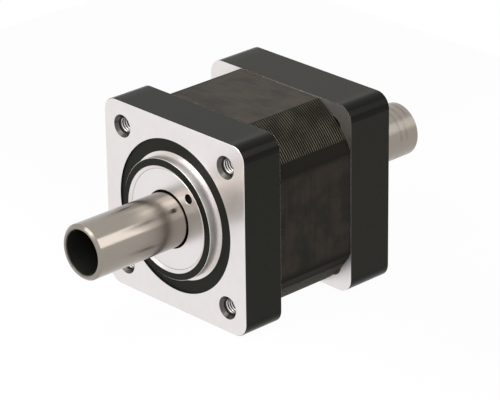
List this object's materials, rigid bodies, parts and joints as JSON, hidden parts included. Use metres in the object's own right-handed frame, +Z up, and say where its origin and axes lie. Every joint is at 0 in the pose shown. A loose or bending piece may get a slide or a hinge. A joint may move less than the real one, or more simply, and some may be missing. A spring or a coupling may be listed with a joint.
{
  "type": "hollow shaft stepper motor",
  "caption": "Square-flanged hybrid stepper motor with a black housing, laminated stator, round pilot boss and a hollow through shaft that extends at both ends.",
  "frame": {"origin": "where the shaft axis crosses the plane of the mounting face", "axes": "-Y out of the front along the shaft axis, +Y to the rear, +Z up, with the lead outlet on the -X side"},
  "size_m": [0.0352, 0.0768, 0.0352],
  "materials": {
    "black_anodised": "black anodised, with bare machined faces",
    "bare_aluminium": "fine turned",
    "lamination_steel": "dark stacked sheet",
    "stainless_shaft": "ground",
    "bearing_steel": "polished",
    "magnet_plating": "nickel plated",
    "copper_winding": "enamelled wire",
    "white_nylon": "moulded",
    "black_rubber": "matte"
  },
  "bodies": {
    "housing": {"front_flange": "black_anodised", "rear_cap": "black_anodised", "stator_stack": "lamination_steel", "front_insulator": "white_nylon", "rear_insulator": "white_nylon", "lead_grommet": "black_rubber", "front_lock_ring": "bare_aluminium", "front_bearing_outer": "bearing_steel", "rear_bearing_outer": "bearing_steel", "coil_1": "copper_winding", "coil_2": "copper_winding", "coil_3": "copper_winding", "coil_4": "copper_winding", "coil_5": "copper_winding", "coil_6": "copper_winding", "coil_7": "copper_winding", "coil_8": "copper_winding"},
    "rotor": {"hollow_shaft": "stainless_shaft", "front_bearing_inner": "bearing_steel", "rear_bearing_inner": "bearing_steel", "front_rotor_cup": "lamination_steel", "rear_rotor_cup": "lamination_steel", "rotor_magnet": "magnet_plating"}
  },
  "joints": [
    {"name": "shaft_spin", "type": "hinge", "parent": "housing", "child": "rotor", "pos_m": [0, 0, 0], "axis": [0, 1, 0], "continuous": true}
  ]
}
